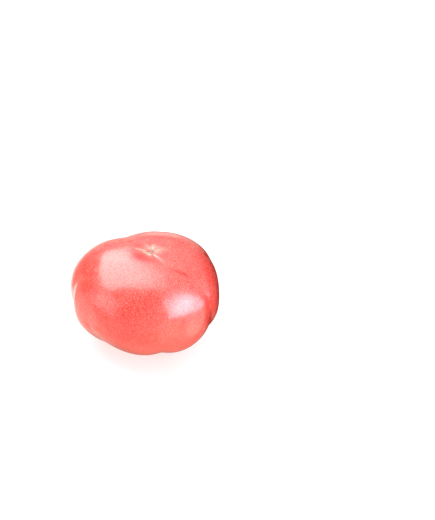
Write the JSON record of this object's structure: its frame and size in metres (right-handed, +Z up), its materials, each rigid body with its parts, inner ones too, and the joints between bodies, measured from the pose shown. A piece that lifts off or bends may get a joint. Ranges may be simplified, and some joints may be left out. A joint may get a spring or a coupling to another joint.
{
  "type": "pink tomato",
  "caption": "Whole ripe pink beefsteak tomato with broad unequal lobes, a puckered blossom scar on top and a funnel at the stem end, standing on its flattened shoulders.",
  "frame": {"origin": "middle of the fruit's bounding box on the surface that it stands on", "axes": "+Z up, from the stem end to the blossom end; -Y towards the viewer in the picture, +X to the viewer's right"},
  "size_m": [0.088, 0.0886, 0.0571],
  "materials": {
    "skin": "smooth waxy skin, glossy"
  },
  "bodies": {
    "root": {"fruit": "skin"}
  },
  "joints": []
}
